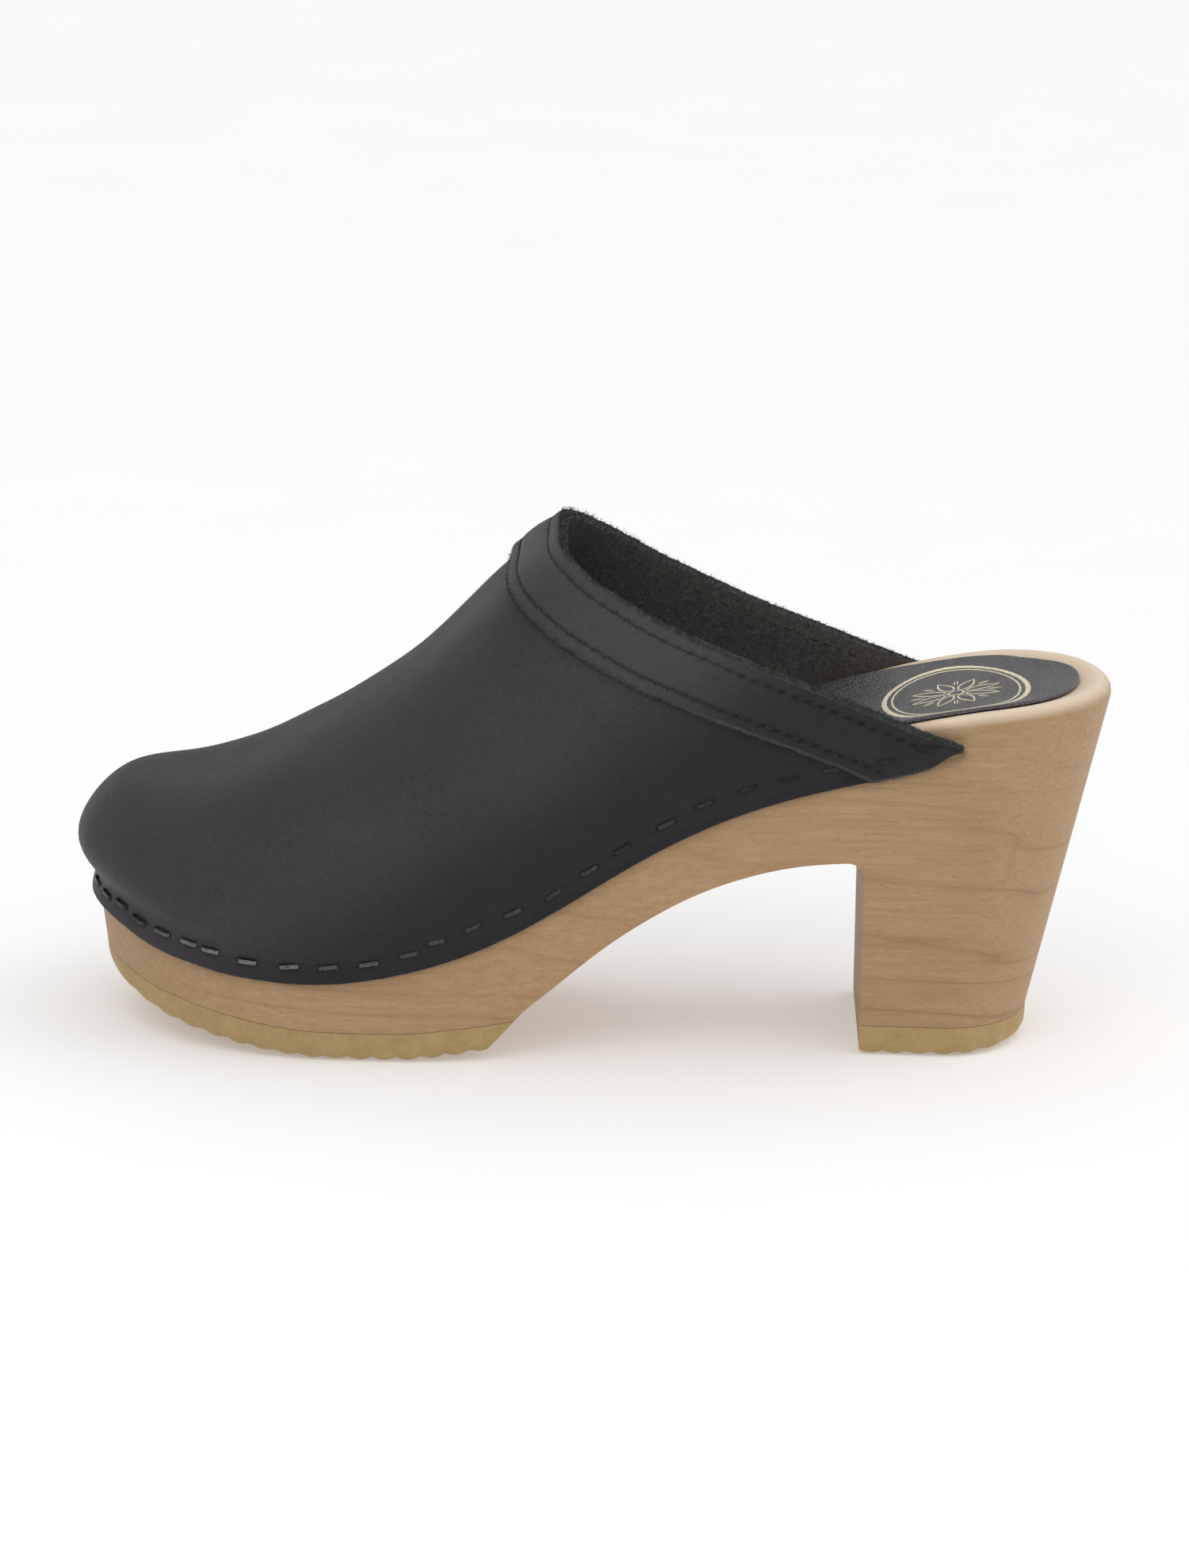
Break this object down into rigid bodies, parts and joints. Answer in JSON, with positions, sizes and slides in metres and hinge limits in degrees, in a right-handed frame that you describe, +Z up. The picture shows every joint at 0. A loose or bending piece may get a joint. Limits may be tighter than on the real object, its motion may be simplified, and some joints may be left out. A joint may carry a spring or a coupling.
{
  "type": "wooden clog",
  "caption": "Left slip-on clog with a carved wooden platform sole and block heel, a stapled leather upper with a stitched collar band, a sock and rubber treads.",
  "frame": {"origin": "on the floor plane, under the middle of the clog's length and width", "axes": "+X towards the heel, toe at -X; +Z up; -Y is the outer (lateral) side of the foot, +Y the inner side; a left shoe"},
  "size_m": [0.2516, 0.097, 0.1241],
  "materials": {
    "wood": "oiled pale alder, grain running from toe to heel",
    "rubber": "honey-coloured crepe rubber, matte",
    "leather": "charcoal-black smooth leather, soft matte, suede on its inner side",
    "sock": "black pebbled leather with a plain gilt oval",
    "stiffener": "impregnated fibre board, hidden inside the toe",
    "thread": "waxed dark olive-brown thread",
    "steel": "steel staple wire, dull"
  },
  "bodies": {
    "root": {"wood_base": "wood", "front_outsole": "rubber", "heel_top_piece": "rubber", "leather_upper": "leather", "collar_band": "leather", "insole_sock": "sock", "toe_puff": "stiffener", "upper_seam_needle_thread": "thread", "upper_seam_bobbin_thread": "thread", "lower_seam_needle_thread": "thread", "lower_seam_bobbin_thread": "thread", "staple_near_01": "steel", "staple_near_02": "steel", "staple_near_03": "steel", "staple_near_04": "steel", "staple_near_05": "steel", "staple_near_06": "steel", "staple_near_07": "steel", "staple_near_08": "steel", "staple_near_09": "steel", "staple_near_10": "steel", "staple_near_11": "steel", "staple_near_12": "steel", "staple_near_13": "steel", "staple_near_14": "steel", "staple_near_15": "steel", "staple_near_16": "steel", "staple_near_17": "steel", "staple_near_18": "steel", "staple_near_19": "steel", "staple_near_20": "steel", "staple_near_21": "steel", "staple_near_22": "steel", "staple_near_23": "steel", "staple_near_24": "steel", "staple_near_25": "steel", "staple_far_01": "steel", "staple_far_02": "steel", "staple_far_03": "steel", "staple_far_04": "steel", "staple_far_05": "steel", "staple_far_06": "steel", "staple_far_07": "steel", "staple_far_08": "steel", "staple_far_09": "steel", "staple_far_10": "steel", "staple_far_11": "steel", "staple_far_12": "steel", "staple_far_13": "steel", "staple_far_14": "steel", "staple_far_15": "steel", "staple_far_16": "steel", "staple_far_17": "steel", "staple_far_18": "steel", "staple_far_19": "steel", "staple_far_20": "steel", "staple_far_21": "steel", "staple_far_22": "steel", "staple_far_23": "steel"}
  },
  "joints": []
}
